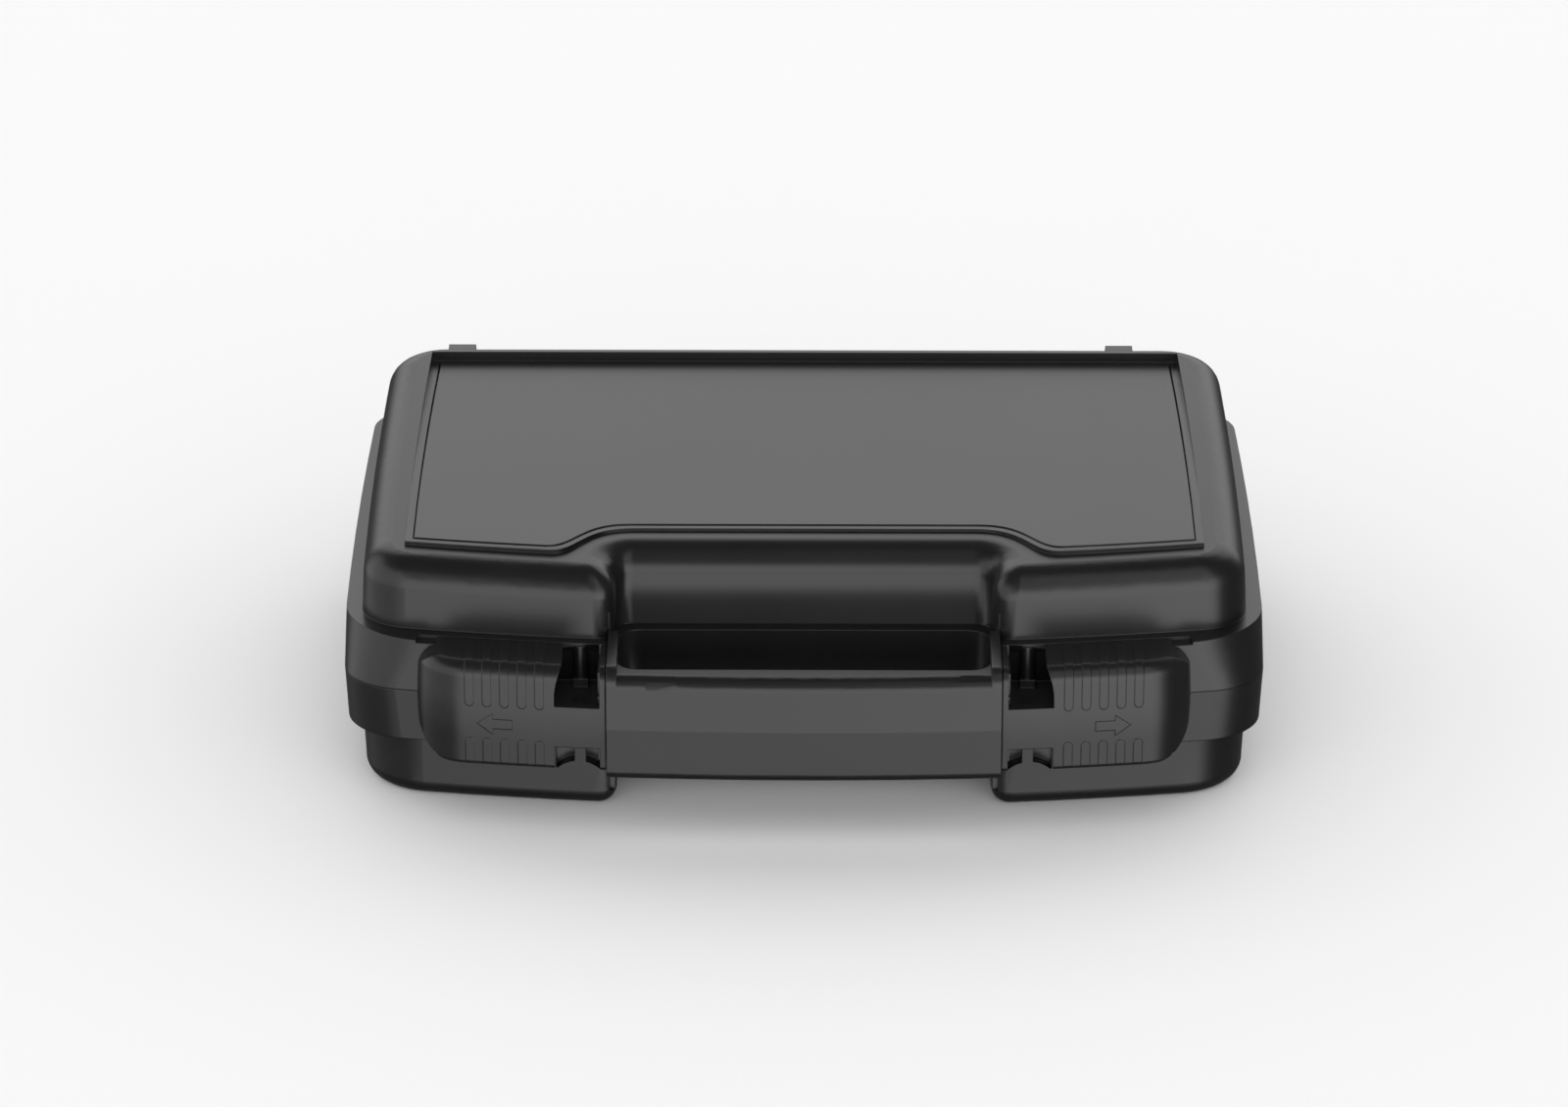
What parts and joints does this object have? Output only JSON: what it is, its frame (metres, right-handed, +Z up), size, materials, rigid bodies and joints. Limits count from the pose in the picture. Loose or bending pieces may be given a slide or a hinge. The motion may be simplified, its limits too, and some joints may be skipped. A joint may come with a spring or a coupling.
{
  "type": "tool case",
  "caption": "Black moulded plastic carrying case with a hinged lid, a fixed front handle and sliding latches either side of it.",
  "frame": {"origin": "middle of the overall box at the level of the base's underside", "axes": "+Z up through the lid, -Y towards the handle side, +X to the right seen from the handle side"},
  "size_m": [0.29, 0.234, 0.0836],
  "materials": {
    "case_plastic": "satin black moulded polypropylene with a fine grain",
    "panel_plastic": "smooth satin black sheet",
    "foam_grey": "open-cell dark grey foam",
    "pin_steel": "drawn steel wire"
  },
  "bodies": {
    "base": {"base_shell": "case_plastic", "handle": "case_plastic", "hinge_pin_left": "pin_steel", "hinge_pin_right": "pin_steel", "base_foam": "foam_grey"},
    "lid": {"lid_shell": "case_plastic", "label_panel": "panel_plastic", "lid_foam": "foam_grey"},
    "left_latch": {"latch_left": "case_plastic"},
    "right_latch": {"latch_right": "case_plastic"}
  },
  "joints": [
    {"name": "lid_hinge", "type": "hinge", "parent": "base", "child": "lid", "pos_m": [0, 0.1128, 0.04], "axis": [-1, 0, 0], "range_deg": [0, 108]},
    {"name": "left_latch_slide", "type": "slide", "parent": "lid", "child": "left_latch", "axis": [-0.9915, 0.13, 0], "range_m": [0, 0.005]},
    {"name": "right_latch_slide", "type": "slide", "parent": "lid", "child": "right_latch", "axis": [0.9915, 0.13, 0], "range_m": [0, 0.005]}
  ]
}
